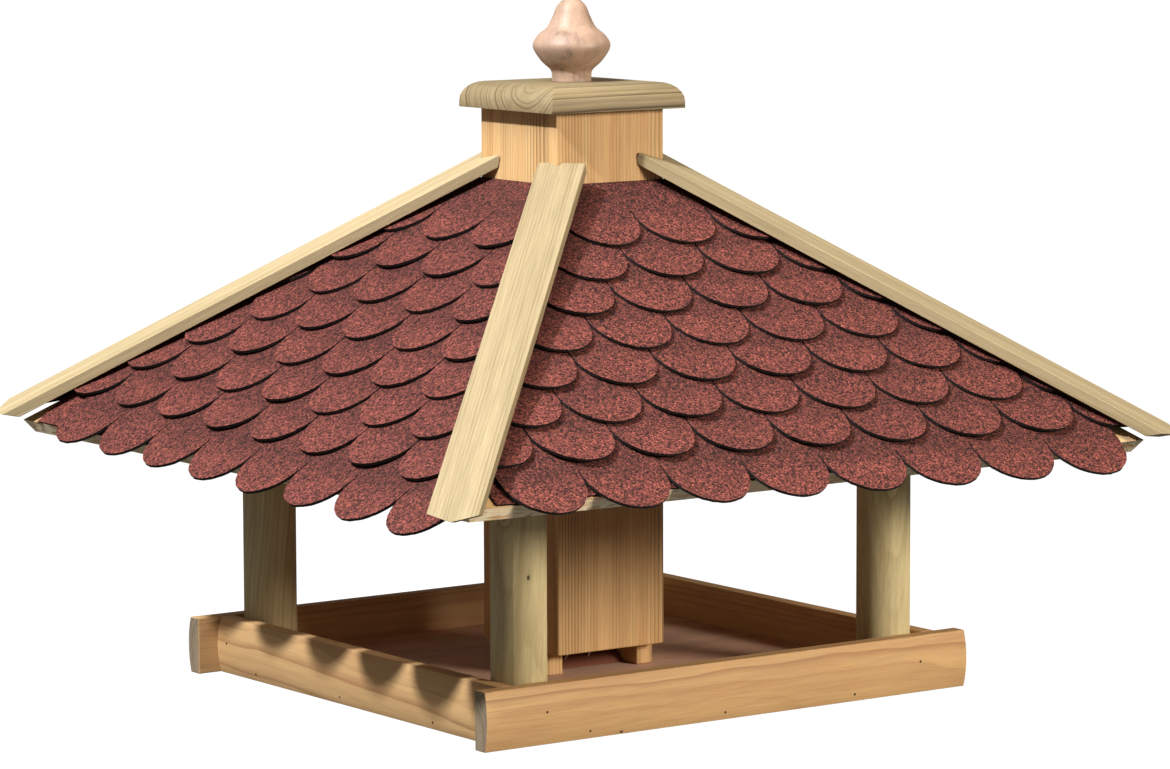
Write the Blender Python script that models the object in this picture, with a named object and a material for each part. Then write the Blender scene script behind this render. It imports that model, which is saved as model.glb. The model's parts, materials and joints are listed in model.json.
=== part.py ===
"""Square garden bird feeder: planed pine tray, four round posts, a seed silo that runs up
through a shingled pyramid roof, and a lift-off lid with a turned knob.

Metres, +Z up.  The origin is on the ground under the middle of the tray, the front is -Y.
Everything that belongs to one side is modelled for the front and turned about Z.
"""
import math

import bmesh
import bpy
from mathutils import Matrix, Vector

# Fits
TOUCH = 0.0003            # gap kept between pieces that touch
LOOSE = 0.0015            # play of the lid block in the silo, each side

# Tray
TRAY_INSIDE = 0.462       # between facing rails
RAIL_THICKNESS = 0.019    # at the middle of the rounded outer face
RAIL_CROWN = 0.004        # how far the outer face bulges
RAIL_HEIGHT = 0.053
RAIL_END = 0.020          # front and back rails past the outside of the side rails
RAIL_ARC_STEPS = 8
FLOOR_THICKNESS = 0.012
FLOOR_TOP = 0.015
FLOOR_PLAY = 0.0005

# Posts
POST_DIAMETER = 0.050
POST_STEPS = 32

# Silo
SILO_WIDTH = 0.121
BOARD = 0.018
OUTLET_HEIGHT = 0.0215    # seed slot under the front and back boards
SILO_RISE = 0.0863        # silo above the line where the roof panels' lower faces meet it
DIVIDER_WIDTH = 0.046
DIVIDER_HEIGHT = 0.020
DIVIDER_PLAY = 0.0005

# Lid
LID_WIDTH = 0.150
LID_THICKNESS = 0.024
LID_ROUND = 0.018         # quarter round on the upper edge
LID_ROUND_STEPS = 6
BLOCK_THICKNESS = 0.015
DOWEL_DIAMETER = 0.008
DOWEL_PLAY = 0.0003
DOWEL_IN_KNOB = 0.022
KNOB_STEPS = 32
KNOB_CURVE_STEPS = 3
# turned outline of the knob: radius and height above the lid
KNOB_OUTLINE = ((0.0183, 0.0), (0.0183, 0.005), (0.0197, 0.0105), (0.0285, 0.019),
                (0.0360, 0.032), (0.0315, 0.042), (0.0225, 0.050), (0.0173, 0.060),
                (0.0135, 0.069), (0.0070, 0.0755), (0.0, 0.077))

# Roof
ROOF_PITCH = math.radians(36.4)
EAVE_HALF = 0.3663        # middle to the lower edge of a roof panel
EAVE_HEIGHT = 0.2247      # that edge above the ground
PANEL = 0.014
ROOF_TO_SILO = 0.0008

# Shingles: each course is one strip with round tabs
COURSES = 8
SHINGLE = 0.002
TAB_PITCH = 0.084
TAB_RADIUS = 0.0412
TAB_STEPS = 6
NOTCH_DEPTH = 0.049
STRIP_DEPTH = 0.100
EXPOSURE = 0.0455
FIRST_EXPOSURE = 0.057
EAVE_OVERHANG = 0.033
EAVE_TAB_MARGIN = 0.040   # least distance from a panel's corner to the middle of an eave tab
COURSE_SLANT = math.radians(2.2)
# where a tab's middle lies in each course, from the eave up, as the strips were laid by hand
SHIFTS_A = (0.044, 0.019, 0.074, 0.032, 0.074, 0.039, 0.079, 0.036)
SHIFTS_B = (0.075, 0.025, 0.069, 0.031, 0.007, 0.052, 0.028, 0.056)

# Hip battens
BATTEN_WIDTH = 0.044
BATTEN_THICKNESS = 0.0105
# from the panels' corner to the shoulders of the pointed end, each sawn by eye
BATTENS_PAST_EAVE = (0.036, 0.018, 0.024, 0.014)
BATTEN_POINT = 0.011
BATTEN_UNDERCUT = math.radians(50)
BATTEN_RUN_IN = 0.026     # past the silo corner before it is notched
FRONT_BATTEN_RUN_IN = 0.010
# roll of each batten about its own length, and how much it is turned on the hip
BATTEN_ROLLS = (0.0, 5.5, -5.5, -14.5)
BATTEN_TURNS = (-1.0, 0.0, 0.0, 0.0)

# Worked out from the sizes above
TRAY_HALF = TRAY_INSIDE / 2
TRAY_OUTSIDE = TRAY_HALF + RAIL_THICKNESS
RAIL_LENGTH = 2 * (TRAY_OUTSIDE + RAIL_END)
POST_RADIUS = POST_DIAMETER / 2
POST_CENTRE = TRAY_HALF - POST_RADIUS - TOUCH
SILO_HALF = SILO_WIDTH / 2
SILO_BORE_HALF = SILO_HALF - BOARD
ROOF_CLEAR = SILO_HALF + ROOF_TO_SILO
SILO_TOP = EAVE_HEIGHT + (EAVE_HALF - SILO_HALF) * math.tan(ROOF_PITCH) + SILO_RISE
SLOPE_UP = Vector((0.0, math.cos(ROOF_PITCH), math.sin(ROOF_PITCH)))
SLOPE_OUT = Vector((0.0, -math.sin(ROOF_PITCH), math.cos(ROOF_PITCH)))
EAVE_TOP = Vector((0.0, -EAVE_HALF, EAVE_HEIGHT)) + SLOPE_OUT * PANEL
EAVE_CORNER = EAVE_HALF + PANEL * math.sin(ROOF_PITCH)
SHINGLE_TILT = (SHINGLE + TOUCH) / EXPOSURE
SHINGLE_TOP = TOUCH + STRIP_DEPTH * SHINGLE_TILT + SHINGLE
REACH = 2 * EAVE_HALF     # longer than any piece of the roof before it is cut

SIDES = ("front", "right", "back", "left")
CORNERS = ("front_left", "front_right", "back_right", "back_left")

PINE = ((0.56, 0.37, 0.15), 0.62)
PALE_PINE = ((0.66, 0.53, 0.29), 0.62)
GREEN_PINE = ((0.48, 0.37, 0.18), 0.66)
PLYWOOD = ((0.30, 0.19, 0.13), 0.60)
HARDBOARD = ((0.20, 0.07, 0.035), 0.60)
STRAND_BOARD = ((0.62, 0.42, 0.22), 0.75)
BEECH = ((0.42, 0.25, 0.16), 0.50)
FELT = ((0.19, 0.058, 0.045), 0.95)


def clear_scene():
    for item in list(bpy.data.objects):
        bpy.data.objects.remove(item, do_unlink=True)


def material(name, finish):
    colour, roughness = finish
    result = bpy.data.materials.new(name + "_finish")
    result.use_nodes = True
    shader = result.node_tree.nodes["Principled BSDF"]
    shader.inputs["Base Color"].default_value = (*colour, 1.0)
    shader.inputs["Roughness"].default_value = roughness
    shader.inputs["Metallic"].default_value = 0.0
    return result


def piece(name, bm, finish, location=(0.0, 0.0, 0.0), turn=0.0, smooth=False):
    """Make one named object from a bmesh, turned about Z and placed."""
    bmesh.ops.recalc_face_normals(bm, faces=bm.faces)
    mesh = bpy.data.meshes.new(name)
    bm.to_mesh(mesh)
    bm.free()
    if smooth:
        mesh.shade_smooth()
        mesh.set_sharp_from_angle(angle=math.radians(35))
    result = bpy.data.objects.new(name, mesh)
    result.location = location
    result.rotation_euler = (0.0, 0.0, turn)
    mesh.materials.append(material(name, finish))
    bpy.context.collection.objects.link(result)
    return result


def box(low, high):
    bm = bmesh.new()
    bmesh.ops.create_cube(bm, size=1.0)
    low = Vector(low)
    high = Vector(high)
    size = high - low
    bmesh.ops.scale(bm, vec=size, verts=bm.verts)
    bmesh.ops.translate(bm, vec=(low + high) / 2, verts=bm.verts)
    return bm


def cut(bm, point, normal):
    """Take away what lies on the normal's side of a plane, and close the cut."""
    everything = bm.verts[:] + bm.edges[:] + bm.faces[:]
    bmesh.ops.bisect_plane(bm, geom=everything, plane_co=point, plane_no=normal,
                           clear_outer=True, dist=1e-7)
    rim = [edge for edge in bm.edges if edge.is_boundary]
    bmesh.ops.holes_fill(bm, edges=rim, sides=0)


def drop_offcuts(bm):
    """Keep the largest connected body and delete the scraps a cut has left."""
    waiting = set(bm.verts)
    bodies = []
    while waiting:
        stack = [waiting.pop()]
        body = []
        while stack:
            vert = stack.pop()
            body.append(vert)
            for edge in vert.link_edges:
                other = edge.other_vert(vert)
                if other in waiting:
                    waiting.remove(other)
                    stack.append(other)
        bodies.append(body)
    bodies.sort(key=len)
    for body in bodies[:-1]:
        bmesh.ops.delete(bm, geom=body, context="VERTS")


def merge_flats(bm):
    bmesh.ops.dissolve_limit(bm, angle_limit=math.radians(0.2), verts=bm.verts, edges=bm.edges)


def mitre(bm):
    """Cut a front-side piece along the two hips."""
    gap = TOUCH / 2
    cut(bm, (0.0, -gap, 0.0), (1.0, 1.0, 0.0))
    cut(bm, (0.0, -gap, 0.0), (-1.0, 1.0, 0.0))


def extrude_profile(points, length):
    """Prism along X from points in the YZ plane, centred on the origin."""
    bm = bmesh.new()
    ring = [bm.verts.new((-length / 2, y, z)) for y, z in points]
    face = bm.faces.new(ring)
    result = bmesh.ops.extrude_face_region(bm, geom=[face])
    moved = [item for item in result["geom"] if isinstance(item, bmesh.types.BMVert)]
    bmesh.ops.translate(bm, vec=(length, 0.0, 0.0), verts=moved)
    return bm


def rail_profile():
    """Flat inner face at y=0, outer face a shallow arc towards -Y."""
    half = RAIL_HEIGHT / 2
    radius = (half * half + RAIL_CROWN * RAIL_CROWN) / (2 * RAIL_CROWN)
    sweep = math.asin(half / radius)
    points = [(0.0, 0.0), (0.0, RAIL_HEIGHT)]
    for step in range(RAIL_ARC_STEPS + 1):
        angle = sweep - 2 * sweep * step / RAIL_ARC_STEPS
        depth = RAIL_THICKNESS - radius + radius * math.cos(angle)
        points.append((-depth, half + radius * math.sin(angle)))
    return points


def make_tray():
    for side, name in enumerate(SIDES):
        turn = side * math.pi / 2
        through = side % 2 == 0
        length = RAIL_LENGTH if through else TRAY_INSIDE - 2 * TOUCH
        bm = extrude_profile(rail_profile(), length)
        bmesh.ops.translate(bm, vec=(0.0, -TRAY_HALF, 0.0), verts=bm.verts)
        piece("tray_rail_" + name, bm, PINE, turn=turn, smooth=True)
    half = TRAY_HALF - FLOOR_PLAY
    floor = box((-half, -half, FLOOR_TOP - FLOOR_THICKNESS), (half, half, FLOOR_TOP))
    piece("floor_panel", floor, PLYWOOD)


def make_posts():
    """Round posts from the floor to the roof, their tops sawn to both slopes."""
    bottom = FLOOR_TOP + TOUCH
    top = EAVE_HEIGHT + EAVE_HALF * math.tan(ROOF_PITCH)
    for corner, name in enumerate(CORNERS):
        bm = bmesh.new()
        bmesh.ops.create_cone(bm, cap_ends=True, segments=POST_STEPS, radius1=POST_RADIUS,
                              radius2=POST_RADIUS, depth=top - bottom)
        place = (-POST_CENTRE, -POST_CENTRE, (top + bottom) / 2)
        bmesh.ops.translate(bm, vec=place, verts=bm.verts)
        under = EAVE_TOP - SLOPE_OUT * (PANEL + TOUCH)
        to_left = Matrix.Rotation(-math.pi / 2, 3, "Z")
        cut(bm, under, SLOPE_OUT)
        cut(bm, to_left @ under, to_left @ SLOPE_OUT)
        piece("post_" + name, bm, GREEN_PINE, turn=corner * math.pi / 2, smooth=True)


def make_silo():
    outlet_top = FLOOR_TOP + OUTLET_HEIGHT
    foot = FLOOR_TOP + TOUCH
    face = SILO_HALF - BOARD
    inside = SILO_BORE_HALF - TOUCH
    for side, name in enumerate(SIDES):
        turn = side * math.pi / 2
        if side % 2 == 0:
            low = (-SILO_HALF, -SILO_HALF, outlet_top)
            high = (SILO_HALF, -face, SILO_TOP)
        else:
            low = (-inside, -SILO_HALF, foot)
            high = (inside, -face, SILO_TOP)
        piece("silo_board_" + name, box(low, high), PINE, turn=turn)
    half = DIVIDER_WIDTH / 2
    ridge = [(-half, foot), (half, foot), (0.0, foot + DIVIDER_HEIGHT)]
    length = 2 * (SILO_BORE_HALF - DIVIDER_PLAY)
    piece("seed_divider", extrude_profile(ridge, length), HARDBOARD)


def smooth_outline(points, steps):
    """Catmull-Rom curve through the points of a turned outline."""
    ends = [points[0]] + list(points) + [points[-1]]
    curve = []
    for before, start, end, after in zip(ends, ends[1:], ends[2:], ends[3:]):
        for step in range(steps):
            t = step / steps
            spot = []
            for a, b, c, d in zip(before, start, end, after):
                value = 2 * b + (c - a) * t + (2 * a - 5 * b + 4 * c - d) * t * t
                value += (3 * b - a - 3 * c + d) * t * t * t
                spot.append(value / 2)
            curve.append(tuple(spot))
    curve.append(points[-1])
    return curve


def turn_profile(points, steps):
    """Turned solid from radius and height points that start and end on the axis."""
    bm = bmesh.new()
    verts = [bm.verts.new((radius, 0.0, height)) for radius, height in points]
    edges = [bm.edges.new(pair) for pair in zip(verts, verts[1:])]
    bmesh.ops.spin(bm, geom=verts + edges, cent=(0.0, 0.0, 0.0), axis=(0.0, 0.0, 1.0),
                   angle=2 * math.pi, steps=steps, use_merge=True, use_duplicate=False)
    bmesh.ops.remove_doubles(bm, verts=bm.verts, dist=1e-6)
    return bm


def make_lid():
    """Lid board, its locating block and the knob on a dowel; the lid lifts off along Z."""
    under = SILO_TOP + TOUCH
    board = box((-LID_WIDTH / 2, -LID_WIDTH / 2, 0.0), (LID_WIDTH / 2, LID_WIDTH / 2, LID_THICKNESS))
    rim = []
    for edge in board.edges:
        if all(vert.co.z > LID_THICKNESS - TOUCH for vert in edge.verts):
            rim.append(edge)
    bmesh.ops.bevel(board, geom=rim, offset=LID_ROUND, segments=LID_ROUND_STEPS, profile=0.5,
                    affect="EDGES", clamp_overlap=False)
    lid = piece("lid_board", board, PINE, location=(0.0, 0.0, under), smooth=True)

    bore = bmesh.new()
    radius = DOWEL_DIAMETER / 2 + DOWEL_PLAY
    bmesh.ops.create_cone(bore, cap_ends=True, segments=KNOB_STEPS, radius1=radius,
                          radius2=radius, depth=4 * LID_THICKNESS)
    cutter = piece("dowel_bore", bore, PINE, location=(0.0, 0.0, under))
    cutter.hide_render = True
    cutter.display_type = "WIRE"
    hole = lid.modifiers.new("dowel_hole", "BOOLEAN")
    hole.operation = "DIFFERENCE"
    hole.object = cutter

    block_half = SILO_BORE_HALF - LOOSE
    block = box((-block_half, -block_half, -BLOCK_THICKNESS), (block_half, block_half, 0.0))
    piece("lid_block", block, PINE, location=(0.0, 0.0, under - TOUCH))

    seat = under + LID_THICKNESS + TOUCH
    outline = [(0.0, DOWEL_IN_KNOB + DOWEL_PLAY), (radius, DOWEL_IN_KNOB + DOWEL_PLAY), (radius, 0.0)]
    outline += smooth_outline(KNOB_OUTLINE, KNOB_CURVE_STEPS)
    knob = turn_profile(outline, KNOB_STEPS)
    piece("lid_knob", knob, BEECH, location=(0.0, 0.0, seat), smooth=True)

    length = LID_THICKNESS + TOUCH + DOWEL_IN_KNOB
    dowel = bmesh.new()
    bmesh.ops.create_cone(dowel, cap_ends=True, segments=KNOB_STEPS, radius1=DOWEL_DIAMETER / 2,
                          radius2=DOWEL_DIAMETER / 2, depth=length)
    piece("knob_dowel", dowel, BEECH, location=(0.0, 0.0, under + length / 2), smooth=True)


def slope_matrix():
    """From (along the eave, up the slope, out of the roof) to the front side in world space."""
    columns = Matrix((Vector((1.0, 0.0, 0.0)), SLOPE_UP, SLOPE_OUT)).transposed().to_4x4()
    return Matrix.Translation(EAVE_TOP) @ columns


def make_roof_panels():
    for side, name in enumerate(SIDES):
        bm = box((-REACH, 0.0, -PANEL), (REACH, REACH, 0.0))
        bmesh.ops.transform(bm, matrix=slope_matrix(), verts=bm.verts)
        mitre(bm)
        cut(bm, (0.0, -ROOF_CLEAR, 0.0), (0.0, 1.0, 0.0))
        piece("roof_panel_" + name, bm, STRAND_BOARD, turn=side * math.pi / 2)


def strip_outline(shift, limit):
    """Points along the lower edge of a strip of whole round tabs, as far as the limit."""
    points = []
    first = math.ceil((-limit - shift) / TAB_PITCH)
    last = math.floor((limit - shift) / TAB_PITCH)
    for tab in range(first, last + 1):
        middle = shift + tab * TAB_PITCH
        points.append((middle - TAB_PITCH / 2, NOTCH_DEPTH))
        for step in range(TAB_STEPS + 1):
            angle = math.pi * step / TAB_STEPS
            rise = TAB_RADIUS - TAB_RADIUS * math.sin(angle)
            points.append((middle - TAB_RADIUS * math.cos(angle), rise))
    points.append((shift + last * TAB_PITCH + TAB_PITCH / 2, NOTCH_DEPTH))
    return points


def shingle_strip(course, shift):
    """One course on the front side: it rests on the course below and on the panel at its head."""
    bm = bmesh.new()
    limit = REACH if course else EAVE_CORNER - EAVE_TAB_MARGIN
    outline = strip_outline(shift, limit)
    lower = [bm.verts.new((x, y, 0.0)) for x, y in outline]
    upper = [bm.verts.new((x, STRIP_DEPTH, 0.0)) for x, y in outline]
    for left in range(len(outline) - 1):
        right = left + 1
        bm.faces.new((lower[left], lower[right], upper[right], upper[left]))
    result = bmesh.ops.extrude_face_region(bm, geom=bm.faces[:])
    moved = [item for item in result["geom"] if isinstance(item, bmesh.types.BMVert)]
    bmesh.ops.translate(bm, vec=(0.0, 0.0, SHINGLE), verts=moved)

    butt = -EAVE_OVERHANG
    if course > 0:
        butt += FIRST_EXPOSURE + (course - 1) * EXPOSURE
    lift = Matrix.Translation((0.0, 0.0, TOUCH + STRIP_DEPTH * SHINGLE_TILT))
    slant = Matrix.Rotation(-COURSE_SLANT, 4, "Z")
    place = slope_matrix() @ Matrix.Translation((0.0, butt, 0.0)) @ slant @ lift
    for vert in bm.verts:
        vert.co.z -= vert.co.y * SHINGLE_TILT
    bmesh.ops.transform(bm, matrix=place, verts=bm.verts)
    mitre(bm)
    cut(bm, (0.0, -ROOF_CLEAR, 0.0), (0.0, 1.0, 0.0))
    drop_offcuts(bm)
    merge_flats(bm)
    return bm


def make_shingles():
    for side, name in enumerate(SIDES):
        shifts = SHIFTS_A if side % 2 == 0 else SHIFTS_B
        for course in range(COURSES):
            bm = shingle_strip(course, shifts[course])
            piece(f"shingles_{name}_{course + 1}", bm, FELT, turn=side * math.pi / 2)


def hip_frame():
    """Along the front-left hip downwards, across it, and out of the roof, at the top-face corner
    of the panels, lifted clear of the shingles."""
    fall = math.atan(math.tan(ROOF_PITCH) / math.sqrt(2))
    away = Vector((-1.0, -1.0, 0.0)).normalized()
    down = away * math.cos(fall) - Vector((0.0, 0.0, math.sin(fall)))
    out = away * math.sin(fall) + Vector((0.0, 0.0, math.cos(fall)))
    across = out.cross(down)
    lift = (SHINGLE_TOP + TOUCH) / math.cos(ROOF_PITCH) + TOUCH
    corner = Vector((-EAVE_CORNER, -EAVE_CORNER, EAVE_TOP.z + lift))
    columns = Matrix((down, across, out)).transposed().to_4x4()
    length = (EAVE_CORNER - SILO_HALF) * math.sqrt(2) / math.cos(fall)
    return Matrix.Translation(corner) @ columns, length


def make_battens():
    """Flat battens on the hips: pointed below, notched round the silo corner above."""
    frame, hip_length = hip_frame()
    half = BATTEN_WIDTH / 2
    for corner, name in enumerate(CORNERS):
        run_in = FRONT_BATTEN_RUN_IN if corner == 0 else BATTEN_RUN_IN
        tip = BATTENS_PAST_EAVE[corner] + BATTEN_POINT
        bm = box((-hip_length - run_in, -half, 0.0), (tip, half, BATTEN_THICKNESS))
        spread = math.atan2(BATTEN_POINT, half)
        for hand in (-1.0, 1.0):
            face = Vector((math.cos(spread), hand * math.sin(spread), 0.0))
            face = face * math.cos(BATTEN_UNDERCUT) - Vector((0.0, 0.0, math.sin(BATTEN_UNDERCUT)))
            cut(bm, (tip, 0.0, BATTEN_THICKNESS), face)
        middle = Matrix.Translation((-hip_length / 2, 0.0, 0.0))
        roll = Matrix.Rotation(math.radians(BATTEN_ROLLS[corner]), 4, "X")
        turn = Matrix.Rotation(math.radians(BATTEN_TURNS[corner]), 4, "Z")
        laid = frame @ middle @ turn @ roll @ middle.inverted()
        bmesh.ops.transform(bm, matrix=laid, verts=bm.verts)
        batten = piece("hip_batten_" + name, bm, PALE_PINE, turn=corner * math.pi / 2)
        notch = batten.modifiers.new("silo_notch", "BOOLEAN")
        notch.operation = "DIFFERENCE"
        notch.object = bpy.data.objects["silo_envelope"]


def make_silo_envelope():
    """Guide solid of the silo with its clearance, which notches the battens."""
    bm = box((-ROOF_CLEAR, -ROOF_CLEAR, EAVE_HEIGHT), (ROOF_CLEAR, ROOF_CLEAR, 2 * SILO_TOP))
    guide = piece("silo_envelope", bm, PINE)
    guide.hide_render = True
    guide.display_type = "WIRE"


def main():
    clear_scene()
    make_tray()
    make_posts()
    make_silo()
    make_lid()
    make_roof_panels()
    make_shingles()
    make_silo_envelope()
    make_battens()


main()
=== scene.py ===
"""Looks of a square wooden garden bird feeder: planed pine tray, round posts, seed silo, a roof
of granule felt tabs with hip battens, and a lift-off lid with a turned knob."""

import json
import math
import random

import bmesh
import bpy
from mathutils import Matrix, Vector

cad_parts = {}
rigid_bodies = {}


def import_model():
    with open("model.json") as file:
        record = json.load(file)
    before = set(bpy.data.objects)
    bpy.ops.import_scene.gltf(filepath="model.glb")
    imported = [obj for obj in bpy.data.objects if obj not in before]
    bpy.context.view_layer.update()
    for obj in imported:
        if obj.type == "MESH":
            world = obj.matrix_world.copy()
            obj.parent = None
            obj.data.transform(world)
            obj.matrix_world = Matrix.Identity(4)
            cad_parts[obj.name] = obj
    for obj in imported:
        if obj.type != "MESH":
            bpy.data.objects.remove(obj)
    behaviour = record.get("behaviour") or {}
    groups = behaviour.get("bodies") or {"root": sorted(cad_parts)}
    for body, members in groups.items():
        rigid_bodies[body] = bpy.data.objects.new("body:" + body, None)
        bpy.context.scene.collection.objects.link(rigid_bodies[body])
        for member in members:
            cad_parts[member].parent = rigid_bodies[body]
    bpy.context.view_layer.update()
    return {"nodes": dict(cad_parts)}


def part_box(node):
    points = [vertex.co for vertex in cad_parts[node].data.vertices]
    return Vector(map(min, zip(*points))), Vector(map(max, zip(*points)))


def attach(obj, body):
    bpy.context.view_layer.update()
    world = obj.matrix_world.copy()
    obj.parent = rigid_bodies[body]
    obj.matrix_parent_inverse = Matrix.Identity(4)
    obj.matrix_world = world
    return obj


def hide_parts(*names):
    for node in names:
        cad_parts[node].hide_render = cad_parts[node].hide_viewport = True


bl_info = {
    "name": "Garden Bird Feeder",
    "version": (1, 0, 0),
    "blender": (4, 5, 0),
    "location": "3D View > Sidebar > Bird Feeder",
    "description": "Models and finishes the wooden pieces and the felt roof of a bird feeder",
    "category": "Object",
}

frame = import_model()
NODES = frame["nodes"]

# Sizes that the roof's slope follows, as the frame has them, in metres and radians
TOUCH = 0.0003
ROOF_PITCH = math.radians(36.4)
EAVE_HALF = 0.3663
EAVE_HEIGHT = 0.2247
PANEL = 0.014
SILO_HALF = 0.0605
ROOF_CLEAR = SILO_HALF + 0.0008
COURSES = 8
TAB_PITCH = 0.084
TAB_RADIUS = 0.0412
NOTCH_DEPTH = 0.049
STRIP_DEPTH = 0.100
EXPOSURE = 0.0455
FIRST_EXPOSURE = 0.057
EAVE_OVERHANG = 0.033
EAVE_TAB_MARGIN = 0.040
COURSE_SLANT = math.radians(2.2)
SHIFTS_A = (0.044, 0.019, 0.074, 0.032, 0.074, 0.039, 0.079, 0.036)
SHIFTS_B = (0.075, 0.025, 0.069, 0.031, 0.007, 0.052, 0.028, 0.056)
SLOPE_UP = Vector((0.0, math.cos(ROOF_PITCH), math.sin(ROOF_PITCH)))
SLOPE_OUT = Vector((0.0, -math.sin(ROOF_PITCH), math.cos(ROOF_PITCH)))
EAVE_TOP = Vector((0.0, -EAVE_HALF, EAVE_HEIGHT)) + SLOPE_OUT * PANEL
EAVE_CORNER = EAVE_HALF + PANEL * math.sin(ROOF_PITCH)
COURSE_STEP = 0.0023       # a course over the one below, with its play
SHINGLE_TILT = COURSE_STEP / EXPOSURE
HIP_FALL = math.atan(math.tan(ROOF_PITCH) / math.sqrt(2))
KNOB_OUTLINE = ((0.0183, 0.0), (0.0183, 0.005), (0.0197, 0.0105), (0.0285, 0.019),
                (0.0360, 0.032), (0.0315, 0.042), (0.0225, 0.050), (0.0173, 0.060),
                (0.0135, 0.069), (0.0070, 0.0755), (0.0, 0.077))

SIDES = ("front", "right", "back", "left")
CORNERS = ("front_left", "front_right", "back_right", "back_left")
X_AXIS = Vector((1.0, 0.0, 0.0))
Z_AXIS = Vector((0.0, 0.0, 1.0))
FRONT = Vector((0.0, -1.0, 0.0))

# A knot's place and radius: from the heart of the log, but a post's place is in the frame
RAIL_KNOTS = (((0.075, -0.009, 0.0480), 0.0012),)
SILO_KNOTS = (((-0.034, -0.052, 0.1125), 0.0014), ((0.010, 0.046, 0.1125), 0.0011))
POST_KNOTS = (((-0.2282, -0.2165, 0.204), 0.0042), ((-0.2120, -0.2300, 0.146), 0.0014))
POST_LEANS = ((0.085, -0.060), (0.050, 0.060), (-0.060, 0.040), (0.050, -0.060))
POST_HEARTS = ((0.006, 0.016), (-0.009, 0.012), (0.008, -0.01), (0.01, 0.01))
END_GRAIN = 0.9            # faces turned this near to a board's length are its sawn ends
# Painted light: lit and shaded copies of the one batten wood, one factor for each corner in CORNERS
# order; the back-left batten, where most light falls, is the brightest
BATTEN_PAINTED_LIGHT = (0.72, 0.78, 0.80, 1.0)

# Brads in the divider: how far from the middle, and a lean in degrees
BRADS = ((-0.020, 14.0), (0.006, -9.0))
BRAD_RADIUS = 0.0006
BRAD_LENGTH = 0.007
BRAD_TILT = math.radians(38.0)

# Nails in a rail: how far from its middle, and how high
UPPER_NAIL = 0.0295
LOWER_NAIL = 0.0070
NAILS_THROUGH = ((-0.2064, UPPER_NAIL), (-0.1588, LOWER_NAIL), (-0.0097, LOWER_NAIL),
                 (0.1387, LOWER_NAIL), (0.2146, UPPER_NAIL))
NAILS_BETWEEN = ((-0.2138, UPPER_NAIL), (-0.165, LOWER_NAIL), (-0.0201, LOWER_NAIL),
                 (0.132, LOWER_NAIL))
NAIL_DEPTH = 0.0010
NAIL_PROUD = 0.0002
NAIL_EASING = 0.0002
RAIL_MIDDLE = 0.0265
RAIL_CROWN = 0.004         # how far the rounded face stands out at its middle

# Felt tabs and the strip under them
TAB_SEGMENTS = 56
TAB_CUTS = (0.008, 0.016, 0.024, 0.033, 0.041)
HAND_CUT = 0.0003
NECK = 0.002
CORNER_CURL = 0.35
TAB_SWING = 1.4
FELT_TOP = 0.6             # a face is granules if it is turned this near to straight out
EAVE_BUTT_BACK = 0.001     # the butts' play inside the frame's own
SPARE_TAB = 0.06
STARTER_SHORT = 0.030
STARTER_LOW = 0.0002
STARTER_TOP = 0.0020
STARTER_PARTS = 60
STARTER_IN = 0.0022
STARTER_OUT = 0.0008
STARTER_GAP = 0.004

# Lamps: name, place, width, height, power in watts and colour; all are aimed at one point
LAMP_TARGET = Vector((0.0, 0.0, 0.25))
LAMPS = (("front_softbox", (1.47, -3.54, 1.39), 1.2, 1.0, 145.0, (1.0, 0.93, 0.82)),
         ("left_lamp", (-2.4, -0.48, 2.76), 0.18, 0.18, 178.0, (0.89, 0.94, 1.0)),
         ("top_softbox", (-1.7, -0.3, 3.3), 2.2, 2.2, 105.0, (1.0, 0.97, 0.97)))
WORLD_COLOUR = (1.0, 0.99, 0.97, 1.0)
WORLD_STRENGTH = 0.17
FLOOR_HALF = 70.0
FLOOR_DROP = 0.0005
FLOOR_GLOW = 1.12
FLOOR_GLOW_SHARE = 0.93
CAMERA_PLACE = Vector((-2.6014, -3.6518, 0.8179))
CAMERA_TARGET = Vector((0.0, 0.0, 0.2782))
CAMERA_ROLL = math.radians(0.197)
CAMERA_LENS = 149.13
CAMERA_SHIFT = 0.0105


def linear(code):
    """An sRGB hex colour as linear red, green and blue."""
    result = []
    for start in (0, 2, 4):
        value = int(code[start:start + 2], 16) / 255
        result.append(value / 12.92 if value <= 0.04045 else ((value + 0.055) / 1.055) ** 2.4)
    return tuple(result)


def turned(side):
    """Turn from the front to a side, counted as in SIDES."""
    return Matrix.Rotation(side * math.pi / 2, 4, "Z")


# ---------------------------------------------------------------- properties

def colour_property(name, description, code):
    return bpy.props.FloatVectorProperty(name=name, description=description, subtype="COLOR",
                                         size=3, min=0.0, max=1.0, default=linear(code))


def length_property(name, description, default):
    return bpy.props.FloatProperty(name=name, description=description, default=default,
                                   min=0.0, unit="LENGTH", precision=4)


class FeederSizes(bpy.types.PropertyGroup):
    """Sizes of the details that the frame leaves out."""
    easing: length_property("Edge easing", "Radius sanded on the edges of planed boards", 0.0009)
    batten_easing: length_property("Batten easing", "Radius on the edges of the battens", 0.0006)
    felt: length_property("Felt thickness", "Thickness of one shingle with its granules", 0.0027)
    lift: length_property("Tab lift", "How far every tab's end stands off the course below", 0.0020)
    curl: length_property("Tab curl", "How far the most curled tab stands off the roof", 0.0022)
    starter: length_property("Starter depth", "How far the starter strip runs up the roof", 0.058)
    nail: length_property("Nail head", "Radius of the nail heads in the rails", 0.0012)


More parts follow.
